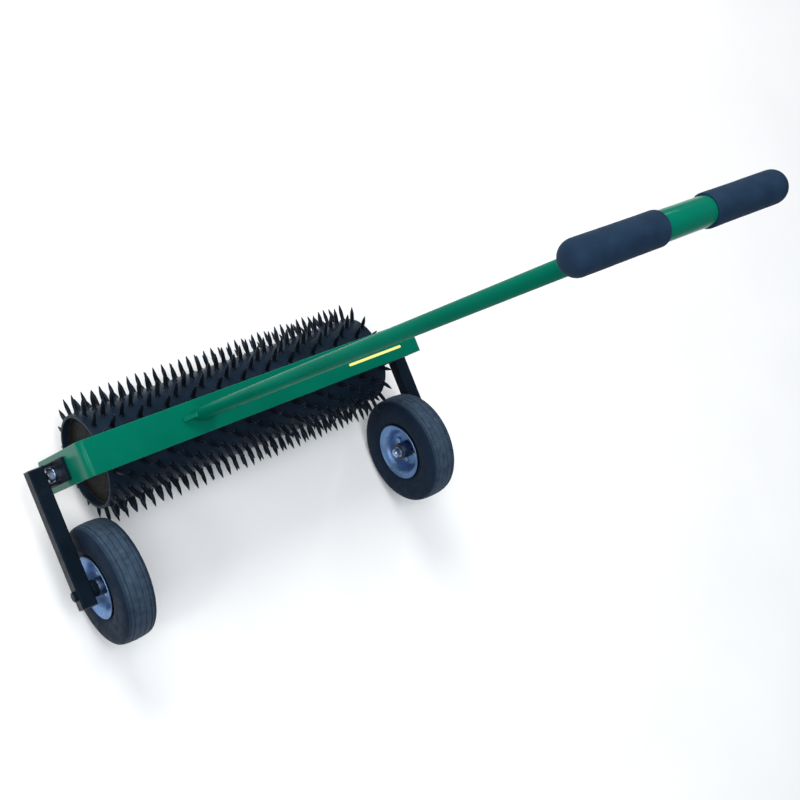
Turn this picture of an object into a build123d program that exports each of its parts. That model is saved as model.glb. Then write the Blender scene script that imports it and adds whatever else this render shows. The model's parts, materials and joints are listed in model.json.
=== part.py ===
from build123d import *
import os
from math import asin, cos, radians, sin

os.makedirs("parts", exist_ok=True)

# Spiked roller on two transport wheels, with a long T handle. Millimetres.
# It stands by itself on its spikes and both tyres, with the handle up.
# X is along the roller's axle, Z is up, and the wheels are on the -Y side.
# The origin is on the floor, under the middle of the whole object.

# --- driving dimensions ---------------------------------------------------
drum_radius = 100.0
drum_wall = 6.0
drum_length = 715.0
spike_height = 38.5
spike_root_radius = 3.7
spike_widest_radius = 4.7
spike_tip_radius = 0.8
spike_weld_radius = 6.2
spike_rows = 36
spike_pitch = 62.5
end_disc_recess = 16.0
end_disc_thickness = 6.0
drum_hub_radius = 22.0
drum_hub_length = 34.0

bar_width = 72.0
bar_thickness = 8.0
bar_bend_radius = 14.0
yoke_half_width = 421.5
yoke_front = 162.5          # axle to the bar's outer face, along the handle
yoke_back = 77.0            # axle to the legs' free ends
leg_corner_radius = 5.0

handle_radius = 13.35
handle_wall = 2.6
handle_foot_x = -164.5      # the handle leans a little along the roller
handle_x = -145.5           # and this is its place at the T bar
foot_offset = 4.0           # handle's centre above the bar's centre line, at the foot
grip_offset = -29.0         # and at the T bar, towards the wheels
t_bar_height = 1432.0       # axle to the T bar, along the handle
t_bar_radius = 19.05
t_bar_wall = 2.6
t_bar_half_length = 186.0   # ends where the domed grip still covers it
gusset_leg = 24.0
gusset_thickness = 8.0

grip_radius = 22.0
grip_inner_end = 44.5
grip_outer_end = 200.5
grip_dome_radius = 20.0
grip_bore_radius = t_bar_radius + 0.1

stripe_start = 217.0
stripe_end = 367.0
stripe_width = 6.0
stripe_thickness = 0.3
stripe_offset = -11.0

arm_reach = 239.5           # drum axle to wheel axle
arm_side = 31.75
arm_wall = 3.0
arm_inner_face = 446.0
arm_top = 20.0
arm_bottom = 268.0
plug_head = 2.5
plug_depth = 14.0

bracket_thickness = 6.0
bracket_half_height = 24.0
bracket_front = 72.0
bracket_back = 62.0
bracket_bolt_offset = -44.0
ear_thickness = 5.0
ear_half_length = 14.0
ear_offset = 19.5

axle_radius = 10.0
axle_thread_radius = 8.0
axle_half_length = 442.0
washer_thickness = 2.5
axle_nut_thickness = 10.0
axle_nut_flats = 24.0
collar_radius = 14.0
bush_radius = 14.0
bush_flange_radius = 18.0
bush_flange = 3.0
running_clearance = 0.05

bolt_radius = 5.0
bolt_flats = 16.0
bolt_head = 6.4
bolt_nut = 8.0

wheel_x = 401.5
tyre_radius = 128.0
wheel_bolt_radius = 6.0
wheel_hub_radius = 19.0
wheel_hub_bore = 15.0
wheel_hub_half_length = 32.0
wheel_bush_length = 16.0
wheel_bush_flange = 1.0
wheel_bolt_flats = 19.0
wheel_nut_thickness = 10.0
wheel_bolt_head = 6.0
wheel_washer_radius = 12.0
rim_bolt_circle = 34.0
rim_bolt_count = 4
rim_bolt_radius = 4.0
rim_bolt_flats = 13.0
rim_bolt_head = 5.3
rim_bolt_tail = 3.0
rim_nut = 6.5
rim_sheet = 2.2
hole_clearance = 0.1
side_play = 0.3

# --- how it stands --------------------------------------------------------
# The drum stands on two neighbouring rows of spikes, each half a step from straight down.
tip_radius = drum_radius + spike_height
row_step = 360 / spike_rows
half_step = radians(row_step / 2)
axle_z = tip_radius * cos(half_step) + spike_tip_radius * sin(half_step)
# The tyres are smaller than the spiked drum, so the yoke leans a little towards them.
lean = asin((axle_z - tyre_radius) / arm_reach)
# The wheels reach further back than the spikes reach forward.
axle_y = (arm_reach * cos(lean) + tyre_radius - tip_radius) / 2

handle_direction = Vector(0, -sin(lean), cos(lean))
front_direction = Vector(0, cos(lean), sin(lean))
yoke = Plane(origin=(0, axle_y, axle_z), x_dir=(1, 0, 0), z_dir=handle_direction)


def yoke_point(x, y, z):
    """A point of the yoke: along the axle, away from the wheels, and up the handle."""
    return yoke.from_local_coords(Vector(x, y, z))


def side_plane(x, y=0.0, z=0.0):
    """A plane square to the axle, whose own axes point away from the wheels and up the handle."""
    return Plane(origin=yoke_point(x, y, z), x_dir=front_direction, z_dir=(1, 0, 0))


def face_plane(x=0.0, y=0.0, z=0.0):
    """A plane through the axle's direction and the handle's; its normal points to the wheels."""
    return Plane(origin=yoke_point(x, y, z), x_dir=(1, 0, 0), z_dir=-front_direction)


def axis_at(y, z):
    """The line along X through a point of the yoke."""
    return Axis(yoke_point(0, y, z), (1, 0, 0))


def finish(piece, name):
    piece.part.label = name
    export_step(piece.part, f"parts/{name}.step")


def turned(name, outline, x, y=0.0, z=0.0):
    """A piece of revolution about the line through (y, z); the outline is (along X, radius)."""
    with BuildPart() as piece:
        with BuildSketch(face_plane(x, y, z)):
            with BuildLine():
                Polyline(*outline, close=True)
            make_face()
        revolve(axis=axis_at(y, z))
    finish(piece, name)


def rings(name, places, inner_radius, outer_radius):
    """Washers, collars or spacers: each place is (start along X, length, y, z)."""
    with BuildPart() as piece:
        for x, length, y, z in places:
            with BuildSketch(side_plane(x, y, z)):
                Circle(outer_radius)
                Circle(inner_radius, mode=Mode.SUBTRACT)
            extrude(amount=length)
    finish(piece, name)


def hex_nuts(name, places, inner_radius, flats, thickness):
    """Hexagon nuts: each place is (start along X, y, z)."""
    with BuildPart() as piece:
        for x, y, z in places:
            with BuildSketch(side_plane(x, y, z)):
                RegularPolygon(radius=flats / 2, side_count=6, major_radius=False)
                Circle(inner_radius, mode=Mode.SUBTRACT)
            extrude(amount=thickness)
    finish(piece, name)


# --- drum -------------------------------------------------------------------
drum_end = drum_length / 2
disc_outer_face = drum_end - end_disc_recess
disc_inner_face = disc_outer_face - end_disc_thickness
hub_outer_end = disc_inner_face + drum_hub_length
drum_bore = drum_radius - drum_wall
disc_radius = drum_bore - hole_clearance
bush_seat = bush_radius + running_clearance

with BuildPart() as drum_shell:
    with BuildSketch(side_plane(-drum_end)):
        Circle(drum_radius)
        Circle(drum_bore, mode=Mode.SUBTRACT)
    extrude(amount=drum_length)
finish(drum_shell, "drum_shell")

for side, sign in (("left", -1), ("right", 1)):
    with BuildPart() as drum_disc:
        with BuildSketch(side_plane(sign * disc_inner_face)):
            Circle(disc_radius)
            Circle(drum_hub_radius, mode=Mode.SUBTRACT)
        extrude(amount=sign * end_disc_thickness)
    finish(drum_disc, f"drum_end_disc_{side}")

    hub_start = hub_outer_end - drum_hub_length - end_disc_thickness
    with BuildPart() as drum_hub:
        with BuildSketch(side_plane(sign * hub_start)):
            Circle(drum_hub_radius)
            Circle(bush_seat, mode=Mode.SUBTRACT)
        extrude(amount=sign * (hub_outer_end - hub_start))
    finish(drum_hub, f"drum_hub_{side}")

    # A flanged bush, pushed into the hub from outside and running on the axle.
    bush_bore = axle_radius + running_clearance
    flange_face = hub_outer_end + bush_flange
    turned(
        f"drum_bush_{side}",
        [
            (sign * hub_start, bush_bore),
            (sign * hub_start, bush_radius),
            (sign * hub_outer_end, bush_radius),
            (sign * hub_outer_end, bush_flange_radius),
            (sign * flange_face, bush_flange_radius),
            (sign * flange_face, bush_bore),
        ],
        0,
    )

# One leaf-shaped spike, widest half way up, standing in the foot of its weld on the drum.
spike_root = drum_radius - 2
spike_outline = [
    (0, spike_root),
    (spike_weld_radius, spike_root),
    (spike_weld_radius, drum_radius + 0.6),
    (spike_root_radius, drum_radius + 3.2),
    (spike_widest_radius, drum_radius + 0.50 * spike_height),
    (0.86 * spike_widest_radius, drum_radius + 0.66 * spike_height),
    (0.50 * spike_widest_radius, drum_radius + 0.86 * spike_height),
    (spike_tip_radius, tip_radius),
    (0, tip_radius),
]
with BuildPart() as spike:
    with BuildSketch(Plane.XZ):
        with BuildLine():
            Polyline(*spike_outline, close=True)
        make_face()
    revolve(axis=Axis.Z)
    Cylinder(drum_radius, 4 * spike_weld_radius, rotation=(0, 90, 0), mode=Mode.SUBTRACT)

spike_places = []
for row in range(spike_rows):
    angle = (row + 0.5) * row_step
    count = 12 if row % 2 == 0 else 11
    for number in range(count):
        x = (number - (count - 1) / 2) * spike_pitch
        spike_places.append(Location((x, axle_y, axle_z), (angle, 0, 0)))

with BuildPart() as spikes:
    with Locations(*spike_places):
        add(spike.part, mode=Mode.REPLACE)
finish(spikes, "spikes")

# --- axle -------------------------------------------------------------------
leg_inner_face = yoke_half_width - bar_thickness
bracket_face = yoke_half_width + bracket_thickness
turned(
    "drum_axle",
    [
        (-axle_half_length, 0),
        (-axle_half_length, axle_thread_radius - 1),
        (-axle_half_length + 1, axle_thread_radius),
        (-leg_inner_face, axle_thread_radius),
        (-leg_inner_face, axle_radius),
        (leg_inner_face, axle_radius),
        (leg_inner_face, axle_thread_radius),
        (axle_half_length - 1, axle_thread_radius),
        (axle_half_length, axle_thread_radius - 1),
        (axle_half_length, 0),
    ],
    0,
)
collar_start = flange_face + side_play
collar_length = leg_inner_face - collar_start
rings(
    "axle_collars",
    [(-leg_inner_face, collar_length, 0, 0), (collar_start, collar_length, 0, 0)],
    axle_radius + running_clearance,
    collar_radius,
)
washer_end = bracket_face + washer_thickness
rings(
    "axle_washers",
    [(-washer_end, washer_thickness, 0, 0), (bracket_face, washer_thickness, 0, 0)],
    axle_thread_radius + hole_clearance,
    1.85 * axle_thread_radius,
)
hex_nuts(
    "axle_nuts",
    [(-washer_end - axle_nut_thickness, 0, 0), (washer_end, 0, 0)],
    axle_thread_radius + 0.02,
    axle_nut_flats,
    axle_nut_thickness,
)

# --- yoke: one flat bar, bent twice ------------------------------------------
yoke_length = yoke_front + yoke_back
yoke_middle = (yoke_front - yoke_back) / 2
with BuildSketch() as yoke_gap:
    Rectangle(2 * leg_inner_face, yoke_length)
    fillet(yoke_gap.vertices().group_by(Axis.Y)[-1], bar_bend_radius - bar_thickness)

with BuildPart() as yoke_bar:
    with BuildSketch(face_plane(0, 0, yoke_middle)) as yoke_outline:
        Rectangle(2 * yoke_half_width, yoke_length)
        fillet(yoke_outline.vertices().group_by(Axis.Y)[-1], bar_bend_radius)
        with Locations((0, -bar_thickness)):
            add(yoke_gap.sketch, mode=Mode.SUBTRACT)
    extrude(amount=bar_width / 2, both=True)
    leg_end_edges = yoke_bar.edges().filter_by(Axis.X).group_by(Axis(yoke.origin, handle_direction))[0]
    fillet(leg_end_edges, leg_corner_radius)
    with BuildSketch(side_plane(-yoke_half_width - 1)):
        Circle(axle_thread_radius + hole_clearance)
        with Locations((0, bracket_bolt_offset)):
            Circle(bolt_radius + hole_clearance)
    extrude(amount=2 * yoke_half_width + 2, mode=Mode.SUBTRACT)
finish(yoke_bar, "yoke_bar")

# --- handle -------------------------------------------------------------------
handle_foot = yoke_point(handle_foot_x, foot_offset, yoke_front)
handle_top = yoke_point(handle_x, grip_offset, t_bar_height)
handle = Plane(origin=handle_foot, x_dir=(1, 0, 0), z_dir=handle_top - handle_foot)
handle_length = (handle_top - handle_foot).length
foot_overlap = 6.0

with BuildPart() as handle_tube:
    with BuildSketch(handle.offset(-foot_overlap)):
        Circle(handle_radius)
        Circle(handle_radius - handle_wall, mode=Mode.SUBTRACT)
    extrude(amount=handle_length + foot_overlap)
    with BuildSketch(side_plane(handle_x - 2 * handle_radius, grip_offset, t_bar_height)):
        Circle(t_bar_radius)
    extrude(amount=4 * handle_radius, mode=Mode.SUBTRACT)
    split(bisect_by=yoke.offset(yoke_front), keep=Keep.TOP)
finish(handle_tube, "handle_tube")

for side, sign in (("left", -1), ("right", 1)):
    with BuildPart() as gusset:
        with BuildSketch(face_plane(handle_foot_x, foot_offset, yoke_front)):
            Polygon(
                (0, 0),
                (sign * (handle_radius + gusset_leg), 0),
                (sign * (handle_radius + gusset_leg), 3),
                (sign * (handle_radius + 3), gusset_leg),
                (0, gusset_leg),
                align=None,
            )
        extrude(amount=gusset_thickness / 2, both=True)
        with BuildSketch(handle.offset(-foot_overlap)):
            Circle(handle_radius + running_clearance)
        extrude(amount=gusset_leg + 4 * foot_overlap, mode=Mode.SUBTRACT)
    finish(gusset, f"handle_gusset_{side}")

with BuildPart() as t_bar:
    with BuildSketch(side_plane(handle_x - t_bar_half_length, grip_offset, t_bar_height)):
        Circle(t_bar_radius)
        Circle(t_bar_radius - t_bar_wall, mode=Mode.SUBTRACT)
    extrude(amount=2 * t_bar_half_length)
finish(t_bar, "t_bar_tube")

grip_bore_end = t_bar_half_length + 0.5
for side, sign in (("left", -1), ("right", 1)):
    grip_corners = [
        (grip_inner_end, grip_bore_radius),
        (grip_bore_end, grip_bore_radius),
        (grip_bore_end, 0),
        (grip_outer_end, 0),
        (grip_outer_end, grip_radius),
        (grip_inner_end, grip_radius),
    ]
    with BuildPart() as grip:
        with BuildSketch(face_plane(handle_x, grip_offset, t_bar_height)) as grip_outline:
            Polygon(*[(sign * along, radius) for along, radius in grip_corners], align=None)
            outer_corners = grip_outline.vertices().group_by(Axis.Y)[-1].sort_by(Axis.X)
            fillet(outer_corners[0 if sign < 0 else -1], grip_dome_radius)
            fillet(outer_corners[-1 if sign < 0 else 0], 1.5)
        revolve(axis=axis_at(grip_offset, t_bar_height))
    finish(grip, f"grip_{side}")

with BuildPart() as stripe:
    with BuildSketch(yoke.offset(yoke_front)):
        with Locations(((stripe_start + stripe_end) / 2, stripe_offset)):
            SlotOverall(stripe_end - stripe_start, stripe_width)
    extrude(amount=stripe_thickness)
finish(stripe, "stripe_decal")

# --- wheel arms and their brackets ---------------------------------------------
arm_centre = arm_inner_face + arm_side / 2
plug_fit = arm_side - 2 * arm_wall - 2 * hole_clearance
for side, sign in (("left", -1), ("right", 1)):
    arm_end = Plane(
        origin=yoke_point(sign * arm_centre, arm_top, 0),
        x_dir=(1, 0, 0),
        z_dir=-front_direction,
    )
    with BuildPart() as wheel_arm:
        with BuildSketch(arm_end):
            RectangleRounded(arm_side, arm_side, arm_wall)
            RectangleRounded(
                arm_side - 2 * arm_wall, arm_side - 2 * arm_wall, 0.5, mode=Mode.SUBTRACT
            )
        extrude(amount=arm_top + arm_bottom)
        with BuildSketch(side_plane(sign * (arm_centre - arm_side), -arm_reach)):
            Circle(wheel_bolt_radius + hole_clearance)
        extrude(amount=sign * 2 * arm_side, mode=Mode.SUBTRACT)
    finish(wheel_arm, f"wheel_arm_{side}")

    with BuildPart() as plugs:
        with BuildSketch(arm_end.offset(-plug_head)):
            RectangleRounded(arm_side, arm_side, arm_wall)
        extrude(amount=plug_head)
        with BuildSketch(arm_end):
            RectangleRounded(plug_fit, plug_fit, 1)
        extrude(amount=plug_depth)
        with BuildSketch(arm_end.offset(arm_top + arm_bottom)):
            RectangleRounded(arm_side, arm_side, arm_wall)
        extrude(amount=plug_head)
        with BuildSketch(arm_end.offset(arm_top + arm_bottom - plug_depth)):
            RectangleRounded(plug_fit, plug_fit, 1)
        extrude(amount=plug_depth)
    finish(plugs, f"arm_plugs_{side}")

    bracket_length = bracket_front + bracket_back
    with BuildPart() as bracket:
        with BuildSketch(side_plane(sign * yoke_half_width)):
            with Locations((0, (bracket_front - bracket_back) / 2)):
                RectangleRounded(2 * bracket_half_height, bracket_length, leg_corner_radius)
            Circle(axle_thread_radius + hole_clearance, mode=Mode.SUBTRACT)
            with Locations((0, bracket_bolt_offset)):
                Circle(bolt_radius + hole_clearance, mode=Mode.SUBTRACT)
        extrude(amount=sign * bracket_thickness)
    finish(bracket, f"arm_bracket_{side}")

    with BuildPart() as ears:
        with BuildSketch(side_plane(sign * bracket_face)):
            with Locations((-ear_offset, 0), (ear_offset, 0)):
                Rectangle(ear_thickness, 2 * ear_half_length)
        extrude(amount=sign * (arm_inner_face - bracket_face))
    finish(ears, f"bracket_ears_{side}")

# --- bolts that hold the brackets to the legs ------------------------------------
bolt_washer = 2.0
bolt_tail = 4.0
nut_outer_face = leg_inner_face - bolt_washer
bolt_end = nut_outer_face - bolt_nut - bolt_tail
with BuildPart() as bracket_bolts:
    for sign in (-1, 1):
        with BuildSketch(side_plane(sign * (bracket_face + bolt_washer), 0, bracket_bolt_offset)):
            RegularPolygon(radius=bolt_flats / 2, side_count=6, major_radius=False)
        extrude(amount=sign * bolt_head)
        with BuildSketch(side_plane(sign * bolt_end, 0, bracket_bolt_offset)):
            Circle(bolt_radius)
        extrude(amount=sign * (bracket_face + bolt_washer - bolt_end))
finish(bracket_bolts, "bracket_bolts")
rings(
    "bracket_washers",
    [
        (-bracket_face - bolt_washer, bolt_washer, 0, bracket_bolt_offset),
        (-leg_inner_face, bolt_washer, 0, bracket_bolt_offset),
        (nut_outer_face, bolt_washer, 0, bracket_bolt_offset),
        (bracket_face, bolt_washer, 0, bracket_bolt_offset),
    ],
    bolt_radius + hole_clearance,
    2 * bolt_radius,
)
hex_nuts(
    "bracket_nuts",
    [
        (-nut_outer_face, 0, bracket_bolt_offset),
        (nut_outer_face - bolt_nut, 0, bracket_bolt_offset),
    ],
    bolt_radius + 0.02,
    bolt_flats,
    bolt_nut,
)

# --- wheels -----------------------------------------------------------------------
# Half sections as (across the wheel, radius), from the bead out to beside the crown.
tyre_outside = [
    (28.5, 50), (28.5, 63), (34.5, 74), (36.5, 88), (36.5, 104), (35.5, 114), (32, 121), (25, 125.3), (14, 127.4)
]
tyre_inside = [(22.5, 50), (23, 66), (29, 78), (31, 90), (30.5, 102), (27, 111), (17, 117.5)]
tyre_inner_crown = 119.0
tube_outside = [(20, 50.5), (22, 66), (28, 78), (30, 90), (29.5, 101.5), (26, 110.2), (16.5, 116.6)]
tube_inside = [(18, 52.5), (20, 67), (26, 79), (28, 90), (27.5, 101), (25, 108.5), (16, 114.8)]
tube_crown = 118.0
tube_inner_crown = 116.0
rim_section = [
    (rim_sheet, wheel_hub_radius),
    (rim_sheet, 42),
    (8, 47.6),
    (27, 47.6),
    (31.4, 49.5),
    (32.2, 62),
    (36, 64.3),
    (35, 66.5),
    (30, 63.5),
    (29.2, 50),
    (6.5, 50),
    (0, 44),
    (0, wheel_hub_radius),
]
valve_across = 16.0
valve_radius = 4.0
valve_inner_radius = 27.0
valve_outer_radius = 50.2
valve_angle = 20.0


def mirrored(half, crown):
    """A whole outline across the wheel from its half, closed over the crown."""
    return [*half, (0, crown), *[(-across, radius) for across, radius in reversed(half)]]


for side, sign in (("left", -1), ("right", 1)):
    centre = sign * wheel_x
    wheel_axis = axis_at(-arm_reach, 0)

    with BuildPart() as tyre:
        with BuildSketch(face_plane(centre, -arm_reach)):
            with BuildLine():
                outside = mirrored(tyre_outside, tyre_radius)
                inside = mirrored(tyre_inside, tyre_inner_crown)
                Polyline(*outside, *reversed(inside), close=True)
            make_face()
        revolve(axis=wheel_axis)
    finish(tyre, f"tyre_{side}")

    with BuildPart() as inner_tube:
        with BuildSketch(face_plane(centre, -arm_reach)):
            with BuildLine():
                Polyline(*mirrored(tube_outside, tube_crown), close=True)
            make_face()
            with BuildLine():
                Polyline(*mirrored(tube_inside, tube_inner_crown), close=True)
            make_face(mode=Mode.SUBTRACT)
        revolve(axis=wheel_axis)
    finish(inner_tube, f"inner_tube_{side}")

    # The valve stem points from the tube towards the hub, on the side that faces the drum.
    valve_direction = handle_direction.rotate(Axis.X, valve_angle)
    valve_middle = yoke_point(centre - sign * valve_across, -arm_reach, 0)
    valve_plane = Plane(origin=valve_middle, x_dir=(1, 0, 0), z_dir=valve_direction)
    with BuildPart() as valve:
        with BuildSketch(valve_plane.offset(valve_inner_radius)):
            Circle(0.7 * valve_radius)
        extrude(amount=8)
        with BuildSketch(valve_plane.offset(valve_inner_radius + 8)):
            Circle(valve_radius)
        extrude(amount=valve_outer_radius - valve_inner_radius - 8)
    finish(valve, f"valve_stem_{side}")

    # Two pressed steel rim halves, bolted back to back. The outer one faces the arm.
    for half, facing in (("outer", sign), ("inner", -sign)):
        with BuildPart() as rim:
            with BuildSketch(face_plane(centre, -arm_reach)):
                with BuildLine():
                    Polyline(*[(facing * across, radius) for across, radius in rim_section], close=True)
                make_face()
            revolve(axis=wheel_axis)
            with BuildSketch(side_plane(centre - 2 * rim_sheet, -arm_reach)):
                with PolarLocations(rim_bolt_circle, rim_bolt_count, start_angle=45):
                    Circle(rim_bolt_radius + hole_clearance)
            extrude(amount=4 * rim_sheet, mode=Mode.SUBTRACT)
            if half == "inner":
                with BuildSketch(valve_plane.offset(rim_bolt_circle)):
                    Circle(valve_radius + hole_clearance)
                extrude(amount=valve_outer_radius - rim_bolt_circle, mode=Mode.SUBTRACT)
        finish(rim, f"rim_{half}_{side}")

    with BuildPart() as rim_bolts:
        with BuildSketch(side_plane(centre - sign * rim_sheet, -arm_reach)):
            with PolarLocations(rim_bolt_circle, rim_bolt_count, start_angle=45):
                RegularPolygon(radius=rim_bolt_flats / 2, side_count=6, major_radius=False)
        extrude(amount=-sign * rim_bolt_head)
        with BuildSketch(side_plane(centre - sign * rim_sheet, -arm_reach)):
            with PolarLocations(rim_bolt_circle, rim_bolt_count, start_angle=45):
                Circle(rim_bolt_radius)
        extrude(amount=sign * (2 * rim_sheet + rim_nut + rim_bolt_tail))
    finish(rim_bolts, f"rim_bolts_{side}")

    with BuildPart() as rim_nuts:
        with BuildSketch(side_plane(centre + sign * rim_sheet, -arm_reach)):
            with PolarLocations(rim_bolt_circle, rim_bolt_count, start_angle=45):
                RegularPolygon(radius=rim_bolt_flats / 2, side_count=6, major_radius=False)
            with PolarLocations(rim_bolt_circle, rim_bolt_count, start_angle=45):
                Circle(rim_bolt_radius + 0.02, mode=Mode.SUBTRACT)
        extrude(amount=sign * rim_nut)
    finish(rim_nuts, f"rim_nuts_{side}")

    hub_start = centre - wheel_hub_half_length
    rings(
        f"wheel_hub_{side}",
        [(hub_start, 2 * wheel_hub_half_length, -arm_reach, 0)],
        wheel_hub_bore,
        wheel_hub_radius,
    )

    with BuildPart() as wheel_bushes:
        for end in (-1, 1):
            hub_face = centre + end * wheel_hub_half_length
            with BuildSketch(side_plane(hub_face, -arm_reach)):
                Circle(wheel_hub_bore - running_clearance)
                Circle(wheel_bolt_radius + running_clearance, mode=Mode.SUBTRACT)
            extrude(amount=-end * wheel_bush_length)
            with BuildSketch(side_plane(hub_face, -arm_reach)):
                Circle(wheel_hub_radius - 1)
                Circle(wheel_bolt_radius + running_clearance, mode=Mode.SUBTRACT)
            extrude(amount=end * wheel_bush_flange)
    finish(wheel_bushes, f"wheel_bushes_{side}")

    # The wheel's bolt goes in from the arm's outer face, and its nut is beside the drum.
    arm_outer_face = arm_inner_face + arm_side
    washer_face = wheel_x - wheel_hub_half_length - wheel_bush_flange - side_play
    nut_face = washer_face - washer_thickness
    bolt_end = nut_face - wheel_nut_thickness - bolt_tail
    with BuildPart() as wheel_bolt:
        with BuildSketch(side_plane(sign * arm_outer_face, -arm_reach)):
            RegularPolygon(radius=wheel_bolt_flats / 2, side_count=6, major_radius=False)
        extrude(amount=sign * wheel_bolt_head)
        with BuildSketch(side_plane(sign * arm_outer_face, -arm_reach)):
            Circle(wheel_bolt_radius)
        extrude(amount=-sign * (arm_outer_face - bolt_end))
    finish(wheel_bolt, f"wheel_bolt_{side}")

# --- what holds the wheels on their bolts --------------------------------------------
spacer_start = wheel_x + wheel_hub_half_length + wheel_bush_flange + side_play
spacer_length = arm_inner_face - spacer_start
rings(
    "wheel_spacers",
    [
        (-arm_inner_face, spacer_length, -arm_reach, 0),
        (spacer_start, spacer_length, -arm_reach, 0),
    ],
    wheel_bolt_radius + running_clearance,
    wheel_hub_radius - 1,
)
rings(
    "wheel_washers",
    [
        (-washer_face, washer_thickness, -arm_reach, 0),
        (nut_face, washer_thickness, -arm_reach, 0),
    ],
    wheel_bolt_radius + hole_clearance,
    wheel_washer_radius,
)
hex_nuts(
    "wheel_nuts",
    [
        (-nut_face, -arm_reach, 0),
        (nut_face - wheel_nut_thickness, -arm_reach, 0),
    ],
    wheel_bolt_radius + 0.02,
    wheel_bolt_flats,
    wheel_nut_thickness,
)
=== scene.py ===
import json
from math import cos, pi, radians, sin, sqrt, tan
from random import Random

import bmesh
import bpy
from mathutils import Matrix, Vector, noise


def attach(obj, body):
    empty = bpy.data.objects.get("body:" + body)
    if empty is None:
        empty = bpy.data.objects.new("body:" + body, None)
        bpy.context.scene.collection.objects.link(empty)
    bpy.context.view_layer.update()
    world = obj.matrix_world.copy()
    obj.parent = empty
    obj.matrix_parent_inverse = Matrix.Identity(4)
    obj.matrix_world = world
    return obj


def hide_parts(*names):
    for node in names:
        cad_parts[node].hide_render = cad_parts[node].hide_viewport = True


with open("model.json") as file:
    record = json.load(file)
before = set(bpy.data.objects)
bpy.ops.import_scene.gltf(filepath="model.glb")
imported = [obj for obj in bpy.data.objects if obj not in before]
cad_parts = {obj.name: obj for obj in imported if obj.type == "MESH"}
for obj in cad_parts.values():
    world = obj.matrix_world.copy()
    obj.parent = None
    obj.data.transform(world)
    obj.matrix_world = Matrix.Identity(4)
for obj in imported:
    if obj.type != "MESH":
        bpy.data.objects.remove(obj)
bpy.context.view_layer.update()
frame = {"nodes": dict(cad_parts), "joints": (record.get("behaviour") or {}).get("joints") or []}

# A spiked roller in a flat-bar yoke, with a long T handle and two transport wheels.
# It stands on its spikes and both tyres. X is along the roller, the wheels are on the -Y side,
# and every object is in metres. Sizes of pieces are written in millimetres and scaled by mm.

mm = 0.001
nodes = frame["nodes"]
joints = {joint["name"]: Vector(joint["pos_m"]) for joint in frame["joints"]}

# --- the yoke's own axes --------------------------------------------------------------------------
# Places on the yoke are (along the roller, away from the wheels, up the handle) from its axle.
axle = joints["drum_spin"]
to_wheels = joints["wheel_left_spin"] - axle
to_wheels.x = 0
arm_reach = to_wheels.length / mm
along_x = Vector((1, 0, 0))
front = -to_wheels.normalized()
up_handle = along_x.cross(front)


def yoke(x, y, z):
    """The place of a point of the yoke, given in millimetres."""
    return axle + mm * (x * along_x + y * front + z * up_handle)


# --- sizes shared by several pieces, in millimetres -----------------------------------------------
drum_radius = 100.0
drum_end = 357.5
drum_bore = 94.0
disc_face = 341.5
disc_thickness = 6.0
hub_radius = 22.0
hub_end = 369.5
hub_bore = 14.0
tip_radius = 138.5
bar_half_width = 36.0
bar_thickness = 8.0
yoke_half_width = 421.5
yoke_front = 162.5
yoke_back = 77.0
leg_face = yoke_half_width - bar_thickness
bracket_face = 427.5
arm_face = 446.0
arm_side = 31.75
handle_foot_x = -164.5
handle_x = -145.5
gusset_leg = 24.0
handle_radius = 13.35
foot_y = 4.0
t_bar_y = -29.0
t_bar_z = 1432.0
t_bar_radius = 19.05
t_bar_half_length = 186.0
wheel_hub_radius = 19.0
washer_thickness = 2.5
washer_play = 0.1
running_play = 0.05
sides = (("left", -1), ("right", 1))

# --- meshes ---------------------------------------------------------------------------------------


def skin(bm, loops, closed=True, joined=False, caps=True):
    """Faces between neighbouring loops of points. Joined loops close on the first one."""
    rings = [[bm.verts.new(point) for point in loop] for loop in loops]
    count = len(rings[0])
    following = rings[1:] + rings[:1] if joined else rings[1:]
    for ring, after in zip(rings, following):
        for i in range(count if closed else count - 1):
            j = (i + 1) % count
            bm.faces.new((ring[i], ring[j], after[j], after[i]))
    if caps and not joined:
        bm.faces.new(rings[0])
        bm.faces.new(list(reversed(rings[-1])))


def lathe(bm, profile, centre, axis=along_x, segments=96, closed=True):
    """Turns a profile of (along the axis, radius), in millimetres, about the axis through centre."""
    side = axis.orthogonal().normalized()
    other = axis.cross(side).normalized()
    loops = []
    for step in range(segments):
        angle = 2 * pi * step / segments
        spoke = cos(angle) * side + sin(angle) * other
        loops.append([centre + mm * (along * axis + radius * spoke) for along, radius in profile])
    skin(bm, loops, closed=closed, joined=True)


def rounded(corners, steps=4):
    """A closed outline whose corners, each (across, up, radius), are rounded off."""
    points = []
    for before, corner, after in zip(corners[-1:] + corners[:-1], corners, corners[1:] + corners[:1]):
        here = Vector(corner[:2])
        back = (Vector(before[:2]) - here).normalized()
        onward = (Vector(after[:2]) - here).normalized()
        radius = corner[2]
        if radius == 0:
            points.append(tuple(here))
            continue
        half_angle = back.angle(onward) / 2
        centre = here + (back + onward).normalized() * radius / sin(half_angle)
        start = here + back * radius / tan(half_angle) - centre
        end = here + onward * radius / tan(half_angle) - centre
        turn = start.angle(end)
        for step in range(steps + 1):
            part = step / steps
            arm = (sin((1 - part) * turn) * start + sin(part * turn) * end) / sin(turn)
            points.append(tuple(centre + arm))
    return points


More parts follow.
